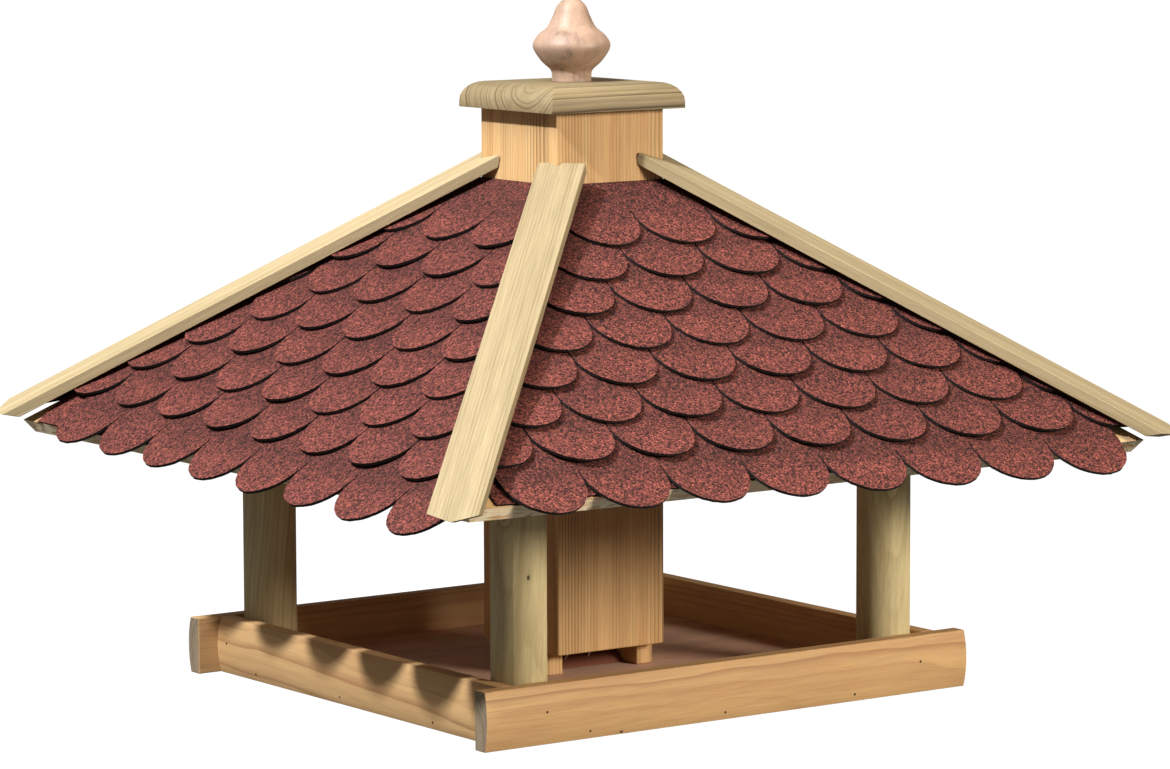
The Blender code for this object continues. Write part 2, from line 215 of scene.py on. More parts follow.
class FeederColours(bpy.types.PropertyGroup):
    """Main colour of each finish."""
    rail: colour_property("Rail pine", "Early wood of the planed rails", "d3a873")
    silo: colour_property("Silo pine", "Early wood of the silo boards", "d0a873")
    post: colour_property("Post pine", "Early wood of the pressure-treated posts", "cfbd8e")
    batten: colour_property("Batten spruce", "Early wood of the pale battens", "b7a37c")
    lid: colour_property("Lid pine", "Early wood of the lid", "907e5c")
    knob: colour_property("Knob alder", "Ground colour of the turned knob", "a68872")
    plywood: colour_property("Plywood", "Face veneer of the tray floor", "d3a88f")
    strand: colour_property("Strand board", "Pale strands of the roof panels", "b89870")
    # painted light: the sawn edges that face down the slope get this much paler copy of the strand
    # board, standing in for the light on them
    strand_edge_painted_light: colour_property("Strand board edge", "Fresh strands on the sawn edges", "ffe2bd")
    granule: colour_property("Granules", "Commonest colour of the roofing granules", "69342b")
    bitumen: colour_property("Bitumen", "Cut edge and back of the felt", "171210")
    divider: colour_property("Divider", "Rough bar in the seed outlet", "744230")
    stage: colour_property("Studio floor", "Plain pale floor under the feeder", "fbfbfb")


# ---------------------------------------------------------------- node helpers

def add(tree, kind, inputs=None, stops=None, **settings):
    """Add a node with its settings; each input is a value or another node's output socket."""
    node = tree.nodes.new(kind)
    for key, value in settings.items():
        setattr(node, key, value)
    if stops:
        elements = node.color_ramp.elements
        while len(elements) < len(stops):
            elements.new(0.5)
        for element, (place, colour) in zip(elements, stops):
            element.position = place
            element.color = (*colour, 1.0) if len(colour) == 3 else (colour[0],) * 3 + (1.0,)
    for key, value in (inputs or {}).items():
        if isinstance(value, bpy.types.NodeSocket):
            tree.links.new(value, node.inputs[key])
        else:
            node.inputs[key].default_value = value
    return node


def blank_material(name):
    result = bpy.data.materials.new(name)
    result.use_nodes = True
    result.node_tree.nodes.clear()
    return result, result.node_tree


def board_place(tree):
    """A board's own coordinates, from the heart of its log: along, across and outward."""
    return add(tree, "ShaderNodeAttribute", attribute_name="grain").outputs["Vector"]


def object_place(tree):
    return add(tree, "ShaderNodeTexCoord").outputs["Object"]


def stretch(tree, vector, along, across, out=None):
    """A place times one number for each axis, the last one for both if out isn't given."""
    scales = (along, across, across if out is None else out)
    return add(tree, "ShaderNodeVectorMath", {0: vector, 1: scales},
               operation="MULTIPLY").outputs[0]


def distance(tree, vector):
    return add(tree, "ShaderNodeVectorMath", {0: vector}, operation="LENGTH").outputs["Value"]


def maths(tree, operation, first, second=0.5):
    return add(tree, "ShaderNodeMath", {0: first, 1: second}, operation=operation).outputs[0]


def noise(tree, vector, detail=2.0, rough=0.5, scale=1.0, distortion=0.0):
    return add(tree, "ShaderNodeTexNoise", {"Vector": vector, "Scale": scale, "Detail": detail,
                                            "Roughness": rough,
                                            "Distortion": distortion}).outputs[0]


def cells(tree, vector, scale=1.0):
    """Scattered cells: a value from 0 to 1 that each cell has, and the distance to its middle."""
    found = add(tree, "ShaderNodeTexVoronoi", {"Vector": vector, "Scale": scale,
                                               "Randomness": 1.0})
    pick = add(tree, "ShaderNodeSeparateColor", {"Color": found.outputs["Color"]})
    return pick.outputs[0], found.outputs["Distance"]


def remap(tree, value, low, high, to_low, to_high, kind="LINEAR"):
    """Move a value from one range to another, and keep it inside."""
    return add(tree, "ShaderNodeMapRange", {"Value": value, "From Min": low, "From Max": high,
                                            "To Min": to_low, "To Max": to_high},
               interpolation_type=kind).outputs[0]


def ramp(tree, value, *stops):
    return add(tree, "ShaderNodeValToRGB", {"Fac": value}, stops=stops).outputs[0]


def mixed(tree, share, ground, other):
    return add(tree, "ShaderNodeMix", {"Factor": share, "A": ground, "B": (*other, 1.0)},
               data_type="RGBA").outputs["Result"]


def brightened(tree, colour, level):
    return add(tree, "ShaderNodeVectorMath", {0: colour, "Scale": level},
               operation="SCALE").outputs[0]


def bumps(tree, height, strength, depth):
    """The normal of a surface with that relief; its depth is in metres."""
    return add(tree, "ShaderNodeBump", {"Height": height, "Strength": strength,
                                        "Distance": depth}).outputs[0]


def close_material(tree, shader):
    add(tree, "ShaderNodeOutputMaterial", {"Surface": shader.outputs[0]})


def surface(tree, colour, rough, specular=0.5, **others):
    """Close a material with a principled surface."""
    inputs = {"Base Color": colour, "Roughness": rough, "Specular IOR Level": specular}
    inputs.update(others)
    close_material(tree, add(tree, "ShaderNodeBsdfPrincipled", inputs))


def shade(colour, factor):
    return tuple(min(1.0, channel * factor) for channel in colour)


# ---------------------------------------------------------------- finishes

def planed_softwood(name, early, late, spacing=3.2, late_share=0.75, warp=2.5, tint=None,
                    tint_share=0.3, knots=(), relief=0.25, rough=0.62, streak=0.35, group=0.45):
    """Planed pine or spruce, cut from a log: straight pale early wood with darker late wood
    rings, fine fibres along the board and a few knots.  To the eye a satin, warm, striped
    surface.  Spacing, warp and relief are in millimetres, and a knot is a place from the heart
    of the log and a radius, in metres."""
    result, tree = blank_material(name)
    place = board_place(tree)
    # slow wander of the rings, some 150 mm long and 30 mm wide
    wander = noise(tree, stretch(tree, place, 7.0, 34.0), 2.0, 0.5)
    wander = maths(tree, "MULTIPLY", maths(tree, "SUBTRACT", wander, 0.5), warp * 2.0)
    radius = distance(tree, stretch(tree, place, 0.0, 1000.0))
    radius = maths(tree, "ADD", radius, wander)
    # the rings part round a knot
    knot_mask = None
    for spot, size in knots:
        away = add(tree, "ShaderNodeVectorMath", {0: place, 1: spot}, operation="SUBTRACT")
        away = distance(tree, stretch(tree, away.outputs[0], 0.6, 1.0))
        near = remap(tree, away, 0.0, size * 4.0, 1.0, 0.0, "SMOOTHSTEP")
        radius = maths(tree, "ADD", radius, maths(tree, "MULTIPLY", near, size * 1400.0))
        heart = remap(tree, away, size * 0.6, size * 1.5, 1.0, 0.0, "SMOOTHSTEP")
        if knot_mask is not None:
            heart = maths(tree, "MAXIMUM", knot_mask, heart)
        knot_mask = heart
    rings = maths(tree, "MULTIPLY", radius, 1.0 / spacing)
    late_wood = ramp(tree, maths(tree, "FRACT", rings), (0.0, (0.10,)), (0.08, (0.0,)),
                     (0.55, (0.22,)), (0.86, (0.85,)), (0.95, (1.0,)), (1.0, (0.10,)))
    # some years are darker than others
    years = add(tree, "ShaderNodeTexNoise", {"W": rings, "Scale": group, "Detail": 1.0},
                noise_dimensions="1D").outputs[0]
    years = remap(tree, years, 0.38, 0.64, 0.06, 1.0)
    late_mask = maths(tree, "MULTIPLY", maths(tree, "MULTIPLY", late_wood, years), late_share)
    # fibres, 1 mm wide and some 40 mm long, and broad streaks of tone, some 12 mm wide
    fibre = noise(tree, stretch(tree, place, 26.0, 950.0), 4.0, 0.65)
    tone = noise(tree, stretch(tree, place, 4.0, 80.0), 3.0, 0.6)
    colour = mixed(tree, late_mask, (*early, 1.0), late)
    if tint:
        colour = mixed(tree, remap(tree, tone, 0.45, 0.75, 0.0, tint_share), colour, tint)
    level = maths(tree, "MULTIPLY",
                  remap(tree, fibre, 0.25, 0.75, 1.0 - streak, 1.0 + streak * 0.6),
                  remap(tree, tone, 0.25, 0.75, 1.12, 0.88))
    colour = brightened(tree, colour, level)
    if knot_mask is not None:
        colour = mixed(tree, knot_mask, colour, shade(late, 0.28))
    height = maths(tree, "ADD", late_mask, fibre)
    surface(tree, colour, remap(tree, fibre, 0.2, 0.8, rough - 0.08, rough + 0.1), 0.35,
            Normal=bumps(tree, height, 0.55, relief / 1000.0))
    return result


def turned_alder(name, ground):
    """Turned hardwood, sanded and unfinished: dull pinkish brown with soft dark streaks along
    the grain, and closed, silky pores."""
    result, tree = blank_material(name)
    place = board_place(tree)
    clouds = noise(tree, stretch(tree, place, 16.0, 60.0), 3.0, 0.55, distortion=0.8)
    pores = noise(tree, stretch(tree, place, 90.0, 900.0), 3.0, 0.6)
    colour = ramp(tree, clouds, (0.28, shade(ground, 0.50)), (0.40, shade(ground, 0.82)),
                  (0.55, ground), (0.72, shade(ground, 1.16)))
    colour = brightened(tree, colour, remap(tree, pores, 0.25, 0.75, 0.84, 1.12))
    surface(tree, colour, 0.5, 0.4, Normal=bumps(tree, pores, 0.3, 0.0001))
    return result


def rotary_plywood(name, ground):
    """Rotary-cut plywood, unfinished: a pinkish brown veneer with broad, wandering figure and
    short dark pores along the grain."""
    result, tree = blank_material(name)
    place = board_place(tree)
    figure = noise(tree, stretch(tree, place, 5.0, 22.0), 4.0, 0.6, distortion=0.6)
    pores = noise(tree, stretch(tree, place, 60.0, 900.0), 3.0, 0.7)
    colour = ramp(tree, figure, (0.30, shade(ground, 0.80)), (0.50, ground),
                  (0.70, shade(ground, 1.15)))
    colour = brightened(tree, colour, remap(tree, pores, 0.25, 0.75, 0.80, 1.12))
    surface(tree, colour, 0.7, 0.3, Normal=bumps(tree, pores, 0.4, 0.00015))
    return result


def strand_board(name, ground):
    """Oriented strand board: pressed flat wood strands, 60 to 100 mm long, with resin-dark gaps.
    On a sawn edge it shows thin lengthwise layers, pits and torn pale chips."""
    result, tree = blank_material(name)
    place = board_place(tree)
    pick, _ = cells(tree, stretch(tree, place, 75.0, 130.0, 420.0))
    colour = ramp(tree, pick, (0.0, shade(ground, 0.45)), (0.08, linear("d8ae74")),
                  (0.30, ground), (0.75, shade(ground, 1.15)), (1.0, linear("e2b083")))
    fibre = noise(tree, stretch(tree, place, 120.0, 700.0, 1400.0), 3.0, 0.7)
    colour = brightened(tree, colour, remap(tree, fibre, 0.25, 0.75, 0.88, 1.25))
    height = maths(tree, "ADD", pick, fibre)
    surface(tree, colour, 0.8, 0.2, Normal=bumps(tree, height, 0.8, 0.0008))
    return result


def roofing_granules(name, common):
    """Crushed ceramic-coated mineral pressed into bitumen felt: a coarse, dry speckle of brick
    red, salmon and near black.  The grit is 0.5 to 1.5 mm; it is drawn at 1.5 mm, the least
    that shows."""
    result, tree = blank_material(name)
    place = object_place(tree)
    pick, spread = cells(tree, place, 640.0)
    colour = ramp(tree, pick, (0.0, shade(common, 0.10)), (0.20, shade(common, 0.33)),
                  (0.40, shade(common, 0.75)), (0.62, common), (0.84, shade(common, 1.45)),
                  (1.0, shade(common, 2.30)))
    clouds = noise(tree, place, 3.0, 0.6, scale=16.0)
    # painted shade: the felt darkens where the course above overhangs it, standing in for the shade
    # under that edge, and is a little lighter towards the tab's lower end
    row = add(tree, "ShaderNodeAttribute", attribute_name="row").outputs["Fac"]
    painted_shade = remap(tree, row, EXPOSURE * 0.45, EXPOSURE * 1.25, 1.04, 0.66, "SMOOTHSTEP")
    level = maths(tree, "MULTIPLY", remap(tree, clouds, 0.3, 0.7, 0.86, 1.12), painted_shade)
    colour = brightened(tree, colour, level)
    height = maths(tree, "ADD", maths(tree, "SUBTRACT", 1.0, spread), pick)
    surface(tree, colour, 0.85, 0.3, Normal=bumps(tree, height, 0.9, 0.0009))
    return result


def cut_bitumen(name, base):
    """Cut edge and sanded back of bitumen felt: near black, slightly grey where grit is left."""
    result, tree = blank_material(name)
    grit = noise(tree, object_place(tree), 2.0, 0.6, scale=700.0)
    colour = ramp(tree, grit, (0.35, base), (0.62, shade(base, 2.2)), (0.80, linear("6a5a55")))
    surface(tree, colour, 0.9, 0.2, Normal=bumps(tree, grit, 0.6, 0.0004))
    return result


def rusty_steel(name, code):
    """Round wire nail head, drawn and blued: dark brown with specks of rust."""
    result, tree = blank_material(name)
    rust = noise(tree, object_place(tree), scale=900.0)
    colour = ramp(tree, rust, (0.4, linear(code)), (0.7, linear("7a5236")))
    surface(tree, colour, remap(tree, rust, 0.0, 1.0, 0.45, 0.8), Metallic=0.6)
    return result


def bright_wire(name):
    """Galvanised brad wire, drawn: bright grey that catches the light in a thin line."""
    result, tree = blank_material(name)
    bloom = noise(tree, object_place(tree), scale=1200.0)
    surface(tree, (*linear("e8e6e0"), 1.0), remap(tree, bloom, 0.0, 1.0, 0.25, 0.5),
            Metallic=0.25)
    return result


# ---------------------------------------------------------------- mesh helpers

def cad_copy(node):
    """A CAD node's shape as a bmesh with its corners welded and its flats made whole."""
    bm = bmesh.new()
    bm.from_mesh(NODES[node].data)
    bmesh.ops.remove_doubles(bm, verts=bm.verts, dist=1e-5)
    bmesh.ops.dissolve_limit(bm, angle_limit=math.radians(0.5), verts=bm.verts, edges=bm.edges)
    return bm


def ease_edges(bm, radius, segments=3, least=30.0):
    """Round off the edges that are sharper than the least angle, in degrees."""
    edges = [edge for edge in bm.edges
             if len(edge.link_faces) == 2 and edge.calc_face_angle(0.0) > math.radians(least)]
    bmesh.ops.bevel(bm, geom=edges, offset=radius, offset_type="OFFSET", segments=segments,
                    profile=0.5, affect="EDGES", material=-1, clamp_overlap=True)


def cut(bm, point, normal):
    """Take away what lies on the normal's side of a plane, and close the cut."""
    everything = bm.verts[:] + bm.edges[:] + bm.faces[:]
    bmesh.ops.bisect_plane(bm, geom=everything, plane_co=point, plane_no=normal,
                           clear_outer=True, dist=1e-7)
    rim = [edge for edge in bm.edges if edge.is_boundary]
    bmesh.ops.holes_fill(bm, edges=rim, sides=0)


def box(low, high):
    bm = bmesh.new()
    bmesh.ops.create_cube(bm, size=1.0)
    low = Vector(low)
    high = Vector(high)
    bmesh.ops.scale(bm, vec=high - low, verts=bm.verts)
    bmesh.ops.translate(bm, vec=(low + high) / 2, verts=bm.verts)
    return bm


def grain_frame(along, outward, heart):
    """Coordinates of a board: along its length, across it, and outward, from its log's heart."""
    along = Vector(along).normalized()
    across = Vector(outward).cross(along).normalized()
    out = along.cross(across)
    columns = Matrix((along, across, out)).transposed().to_4x4()
    return Matrix.Translation(heart) @ columns


def finish_piece(name, bm, finishes, body, nodes=(), grain=None, smooth=None):
    """Make the finished object, with its board coordinates, its body and what it stands for."""
    mesh = bpy.data.meshes.new(name)
    bm.to_mesh(mesh)
    bm.free()
    if smooth is not None:
        mesh.shade_smooth()
        mesh.set_sharp_from_angle(angle=math.radians(smooth))
    if grain is not None:
        inverse = grain.inverted()
        values = []
        for vert in mesh.vertices:
            values.extend(inverse @ vert.co)
        layer = mesh.attributes.new("grain", "FLOAT_VECTOR", "POINT")
        layer.data.foreach_set("vector", values)
    for finish in finishes:
        mesh.materials.append(finish)
    piece = bpy.data.objects.new(name, mesh)
    bpy.context.scene.collection.objects.link(piece)
    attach(piece, body)
    if nodes:
        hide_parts(*nodes)
    return piece


# ---------------------------------------------------------------- operators

class FEEDER_OT_tray(bpy.types.Operator):
    """Rails and floor of the tray"""
    bl_idname = "feeder.tray"
    bl_label = "Tray"

    def execute(self, context):
        sizes = context.scene.feeder_sizes
        colours = context.scene.feeder_colours
        early = tuple(colours.rail)
        for side, name in enumerate(SIDES):
            finish = planed_softwood("planed_pine_rail_" + name, early, linear("94653a"),
                                     spacing=4.0, late_share=0.60, warp=2.6,
                                     tint=linear("cf8f62"), tint_share=0.45,
                                     knots=() if side else RAIL_KNOTS, streak=0.16)
            sawn = planed_softwood("sawn_end_rail_" + name, linear("96836a"), linear("55432e"),
                                   spacing=3.0, late_share=0.8, warp=2.6, streak=0.3, rough=0.8)
            # each rail is cut from another place in the log, and slants a little in it
            spin = turned(side)
            heart = Vector((0.31 * side - 0.2, -0.2000, 0.010 + 0.006 * side))
            along = Vector((1.0, 0.012 - 0.007 * side, 0.014 - 0.011 * side))
            bm = cad_copy("tray_rail_" + name)
            ease_edges(bm, sizes.easing)
            bm.normal_update()
            lengthwise = spin @ X_AXIS
            for face in bm.faces:
                face.material_index = int(abs(face.normal.dot(lengthwise)) > END_GRAIN)
            finish_piece("planed_rail_" + name, bm, [finish, sawn], "house",
                         ["tray_rail_" + name], spin @ grain_frame(along, FRONT, heart),
                         smooth=15.0)
        bm = cad_copy("floor_panel")
        finish = rotary_plywood("rotary_plywood_floor", tuple(colours.plywood))
        grain = grain_frame(X_AXIS, Z_AXIS, (0.0, 0.0, 0.0))
        finish_piece("plywood_floor", bm, [finish], "house", ["floor_panel"], grain)
        return {"FINISHED"}


class FEEDER_OT_posts(bpy.types.Operator):
    """Four round posts"""
    bl_idname = "feeder.posts"
    bl_label = "Posts"

    def execute(self, context):
        colours = context.scene.feeder_colours
        early = tuple(colours.post)
        for corner, name in enumerate(CORNERS):
            low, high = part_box("post_" + name)
            middle = (low + high) / 2
            off_x, off_y = POST_HEARTS[corner]
            heart = Vector((middle.x + off_x, middle.y + off_y, 0.1 - 0.4 * corner))
            grain = grain_frame(Vector((*POST_LEANS[corner], 1.0)), FRONT, heart)
            knots = [(tuple(grain.inverted() @ Vector(spot)), size) for spot, size in POST_KNOTS]
            finish = planed_softwood("treated_pine_post_" + name, early, linear("8d7440"),
                                     spacing=4.6, late_share=0.55, warp=4.0,
                                     tint=linear("b39b66"), tint_share=0.5,
                                     knots=() if corner else knots, streak=0.20, rough=0.66)
            bm = cad_copy("post_" + name)
            finish_piece("turned_post_" + name, bm, [finish], "house",
                         ["post_" + name], grain, smooth=15.0)
        return {"FINISHED"}


class FEEDER_OT_silo(bpy.types.Operator):
    """Boards of the silo, and the divider with its brads in the seed outlet"""
    bl_idname = "feeder.silo"
    bl_label = "Silo"

    def execute(self, context):
        sizes = context.scene.feeder_sizes
        colours = context.scene.feeder_colours
        early = tuple(colours.silo)
        for side, name in enumerate(SIDES):
            heart = Vector((0.092 - 0.012 * side, -0.022, 0.10 - 0.35 * side))
            finish = planed_softwood("planed_pine_silo_" + name, early, linear("5f441f"),
                                     spacing=3.4, late_share=0.92, warp=0.8,
                                     tint=linear("cf9457"), tint_share=0.55,
                                     knots=() if side else SILO_KNOTS, streak=0.20, group=0.11)
            bm = cad_copy("silo_board_" + name)
            ease_edges(bm, sizes.easing * 1.2)
            grain = turned(side) @ grain_frame(Vector((0.004, 0.0, 1.0)), FRONT, heart)
            finish_piece("planed_silo_" + name, bm, [finish], "house",
                         ["silo_board_" + name], grain, smooth=15.0)
        bm = cad_copy("seed_divider")
        ease_edges(bm, 0.0012, segments=2, least=50.0)
        finish = rotary_plywood("sawn_bar_divider", tuple(colours.divider))
        grain = grain_frame(X_AXIS, Z_AXIS, (0.4, 0.1, 0.0))
        finish_piece("sawn_divider", bm, [finish], "house", ["seed_divider"], grain)
        wire = bright_wire("galvanised_brad_wire")
        low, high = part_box("seed_divider")
        for number, (x, lean) in enumerate(BRADS):
            bm = bmesh.new()
            bmesh.ops.create_cone(bm, cap_ends=True, segments=10, radius1=BRAD_RADIUS,
                                  radius2=BRAD_RADIUS, depth=BRAD_LENGTH)
            ease_edges(bm, NAIL_EASING, segments=1)
            spin = Matrix.Rotation(BRAD_TILT, 4, "X")
            spin = spin @ Matrix.Rotation(math.radians(lean), 4, "Y")
            place = Matrix.Translation((x, low.y * 0.55 - 0.004, low.z + 0.0105)) @ spin
            bmesh.ops.transform(bm, matrix=place, verts=bm.verts)
            finish_piece(f"divider_brad_{number + 1}", bm, [wire], "house", smooth=30.0)
        return {"FINISHED"}


class FEEDER_OT_lid(bpy.types.Operator):
    """Lid board with its block"""
    bl_idname = "feeder.lid"
    bl_label = "Lid"

    def execute(self, context):
        colours = context.scene.feeder_colours
        low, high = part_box("lid_board")
        middle = (low + high) / 2
        early = tuple(colours.lid)
        finish = planed_softwood("planed_pine_lid", early, linear("3c2912"), spacing=4.4,
                                 late_share=0.95, warp=1.2, tint=linear("8c7450"),
                                 tint_share=0.4, streak=0.25, group=0.6)
        heart = Vector((0.35, middle.y - 0.028, high.z + 0.014))
        grain = grain_frame(Vector((1.0, 0.01, 0.0)), Z_AXIS, heart)
        bm = cad_copy("lid_board")
        ease_edges(bm, 0.0006, segments=2, least=60.0)
        finish_piece("moulded_lid", bm, [finish], "lid", ["lid_board"], grain,
                     smooth=25.0)
        bm = cad_copy("lid_block")
        ease_edges(bm, 0.0008)
        grain = grain_frame(X_AXIS, Z_AXIS, (0.8, 0.03, low.z - 0.05))
        finish_piece("sawn_block", bm, [finish], "lid", ["lid_block"], grain,
                     smooth=15.0)
        return {"FINISHED"}


def smooth_outline(points, steps):
    """Catmull-Rom curve through the points of a turned outline."""
    ends = [points[0]] + list(points) + [points[-1]]
    curve = []
    for before, start, end, after in zip(ends, ends[1:], ends[2:], ends[3:]):
        for step in range(steps):
            t = step / steps
            spot = []
            for a, b, c, d in zip(before, start, end, after):
                value = 2 * b + (c - a) * t + (2 * a - 5 * b + 4 * c - d) * t * t
                value += (3 * b - a - 3 * c + d) * t * t * t
                spot.append(value / 2)
            curve.append(tuple(spot))
    curve.append(points[-1])
    return curve


class FEEDER_OT_knob(bpy.types.Operator):
    """Turned knob on the lid"""
    bl_idname = "feeder.knob"
    bl_label = "Knob"

    def execute(self, context):
        colours = context.scene.feeder_colours
        low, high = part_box("lid_knob")
        outline = [(0.0, 0.0006), (0.0170, 0.0006)] + smooth_outline(KNOB_OUTLINE, 6)
        bm = bmesh.new()
        verts = [bm.verts.new((radius, 0.0, height)) for radius, height in outline]
        edges = [bm.edges.new(pair) for pair in zip(verts, verts[1:])]
        bmesh.ops.spin(bm, geom=verts + edges, cent=(0.0, 0.0, 0.0), axis=(0.0, 0.0, 1.0),
                       angle=2 * math.pi, steps=64, use_merge=True, use_duplicate=False)
        bmesh.ops.remove_doubles(bm, verts=bm.verts, dist=1e-6)
        bmesh.ops.translate(bm, vec=(0.0, 0.0, low.z), verts=bm.verts)
        bmesh.ops.recalc_face_normals(bm, faces=bm.faces)
        finish = turned_alder("turned_alder_knob", tuple(colours.knob))
        grain = grain_frame(Vector((0.10, 0.05, 1.0)), FRONT, (0.013, 0.02, 0.41))
        finish_piece("turned_knob", bm, [finish], "lid", ["lid_knob"], grain,
                     smooth=40.0)
        bm = cad_copy("knob_dowel")
        finish_piece("plain_dowel", bm, [finish], "lid", ["knob_dowel"], grain,
                     smooth=30.0)
        return {"FINISHED"}


def slope_matrix():
    """From (along the eave, up the slope, out of the roof) to the front side."""
    columns = Matrix((X_AXIS, SLOPE_UP, SLOPE_OUT)).transposed().to_4x4()
    return Matrix.Translation(EAVE_TOP) @ columns


class FEEDER_OT_panels(bpy.types.Operator):
    """Strand board roof panels"""
    bl_idname = "feeder.panels"
    bl_label = "Roof panels"

    def execute(self, context):
        colours = context.scene.feeder_colours
        finish = strand_board("oriented_strand_board", tuple(colours.strand))
        sawn = strand_board("sawn_edge_painted_light", tuple(colours.strand_edge_painted_light))
        for side, name in enumerate(SIDES):
            bm = cad_copy("roof_panel_" + name)
            bm.normal_update()
            down = turned(side).to_3x3() @ -SLOPE_UP
            for face in bm.faces:
                # painted light: faces turned down the slope take the paler edge copy of the strand
                # board
                face.material_index = 1 if face.normal.dot(down) > 0.7 else 0
            grain = turned(side) @ slope_matrix() @ Matrix.Translation((0.7 * side, 0.0, 0.0))
            finish_piece("strand_panel_" + name, bm, [finish, sawn], "house",
                         ["roof_panel_" + name], grain)
        return {"FINISHED"}


def mitre(bm, gap=0.00015):
    """Cut a front-side piece along the two hips."""
    cut(bm, (0.0, -gap, 0.0), (1.0, 1.0, 0.0))
    cut(bm, (0.0, -gap, 0.0), (-1.0, 1.0, 0.0))


def drop_offcuts(bm):
    """Keep the largest connected body and delete the scraps a cut has left."""
    waiting = set(bm.verts)
    bodies = []
    while waiting:
        stack = [waiting.pop()]
        body = []
        while stack:
            vert = stack.pop()
            body.append(vert)
            for edge in vert.link_edges:
                other = edge.other_vert(vert)
                if other in waiting:
                    waiting.remove(other)
                    stack.append(other)
        bodies.append(body)
    bodies.sort(key=len)
    for body in bodies[:-1]:
        bmesh.ops.delete(bm, geom=body, context="VERTS")


def extrude_row(bm, edges, height, stretch, middle):
    """Pull a row of faces up the strip to a height, its ends stretched from the tab's middle."""
    made = bmesh.ops.extrude_edge_only(bm, edges=edges)["geom"]
    verts = [item for item in made if isinstance(item, bmesh.types.BMVert)]
    for vert in verts:
        vert.co.y = height
        vert.co.x = middle + (vert.co.x - middle) * stretch
    return [item for item in made if isinstance(item, bmesh.types.BMEdge)
            and all(vert in verts for vert in item.verts)]


def felt_strip(middles, thickness, rest, curl, chance):
    """A strip of round tabs with its butt at y=0, each tab curled and turned a little."""
    bm = bmesh.new()
    for middle in middles:
        place = Matrix.Translation((middle, TAB_RADIUS, 0.0))
        ring = bmesh.ops.create_circle(bm, cap_ends=False, segments=TAB_SEGMENTS,
                                       radius=TAB_RADIUS, matrix=place)["verts"]
        upper = [vert for vert in ring if vert.co.y > TAB_RADIUS + 1e-6]
        bmesh.ops.delete(bm, geom=upper, context="VERTS")
        lower = [vert for vert in ring if vert.is_valid]
        # cut by hand, but the tabs still meet where the straight part begins
        for vert in lower:
            if vert.co.y < 0.9 * TAB_RADIUS:
                vert.co.y += chance.uniform(-HAND_CUT, HAND_CUT)
                vert.co.x += chance.uniform(-HAND_CUT, HAND_CUT)
        edges = list({edge for vert in lower for edge in vert.link_edges})
        edges = extrude_row(bm, edges, NOTCH_DEPTH, 1.0, middle)
        edges = extrude_row(bm, edges, NOTCH_DEPTH + NECK, TAB_PITCH / (2 * TAB_RADIUS), middle)
        extrude_row(bm, edges, STRIP_DEPTH, 1.0, middle)
    bmesh.ops.remove_doubles(bm, verts=bm.verts, dist=2e-5)
    for height in TAB_CUTS:
        everything = bm.verts[:] + bm.edges[:] + bm.faces[:]
        bmesh.ops.bisect_plane(bm, geom=everything, plane_co=(0.0, height, 0.0),
                               plane_no=(0.0, 1.0, 0.0), dist=1e-7)
    row = bm.verts.layers.float.new("row")
    for vert in bm.verts:
        vert[row] = vert.co.y
    made = bmesh.ops.extrude_face_region(bm, geom=bm.faces[:])["geom"]
    raised = [item for item in made if isinstance(item, bmesh.types.BMVert)]
    bmesh.ops.translate(bm, vec=(0.0, 0.0, thickness), verts=raised)
    for middle in middles:
        lift = rest + curl * chance.random() ** 2
        left = curl * CORNER_CURL * chance.random()
        right = curl * CORNER_CURL * chance.random()
        swing = math.radians(chance.uniform(-TAB_SWING, TAB_SWING))
        for vert in bm.verts:
            offset = vert.co.x - middle
            if abs(offset) < TAB_PITCH / 2 and vert.co.y < NOTCH_DEPTH:
                share = (NOTCH_DEPTH - vert.co.y) / NOTCH_DEPTH
                side = offset / TAB_RADIUS
                vert.co.z += share * share * lift
                vert.co.z += (share * max(0.0, -side) ** 2 * left
                              + share * max(0.0, side) ** 2 * right)
                vert.co.x += swing * (NOTCH_DEPTH - vert.co.y)
    return bm


